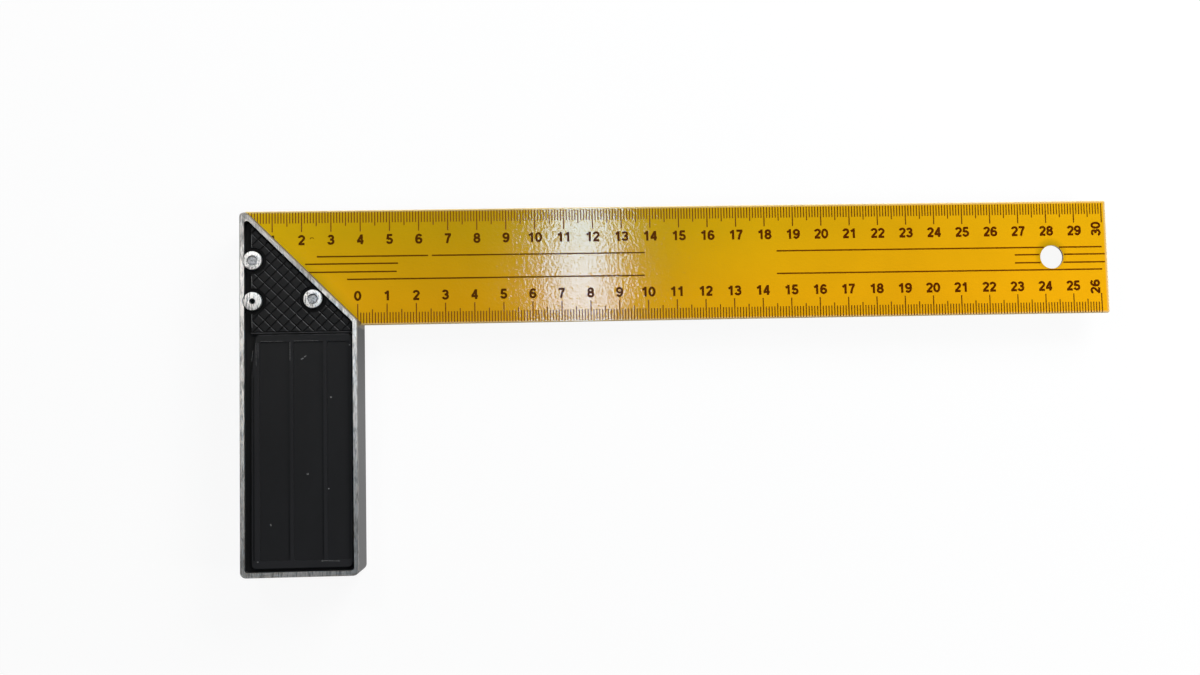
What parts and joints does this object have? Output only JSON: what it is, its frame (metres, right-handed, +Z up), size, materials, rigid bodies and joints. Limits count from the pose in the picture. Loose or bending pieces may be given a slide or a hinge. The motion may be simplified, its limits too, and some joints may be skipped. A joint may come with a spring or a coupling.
{
  "type": "carpenter's try square",
  "caption": "Carpenter's try square: a yellow graduated steel blade riveted at a right angle into a cast metal handle with black knurled grip inlays and a hang hole near the tip.",
  "frame": {"origin": "inner corner of the square, where the handle's working face meets the blade's inner edge, halfway through the thickness", "axes": "+X along the blade towards its tip, +Y from the handle's free end towards the blade's outer edge, +Z up, out of the front face; the square lies on its back rim at z = -8.5 mm"},
  "size_m": [0.3008, 0.1237, 0.017],
  "materials": {
    "cast_handle": "ground",
    "black_inlay": "satin",
    "yellow_blade": "satin",
    "rivet_metal": "ground",
    "scale_ink": "matte"
  },
  "bodies": {
    "root": {"handle_body": "cast_handle", "front_inlay": "black_inlay", "back_inlay": "black_inlay", "blade": "yellow_blade", "rivet_upper_outer": "rivet_metal", "rivet_lower_outer": "rivet_metal", "rivet_inner": "rivet_metal"}
  },
  "joints": []
}
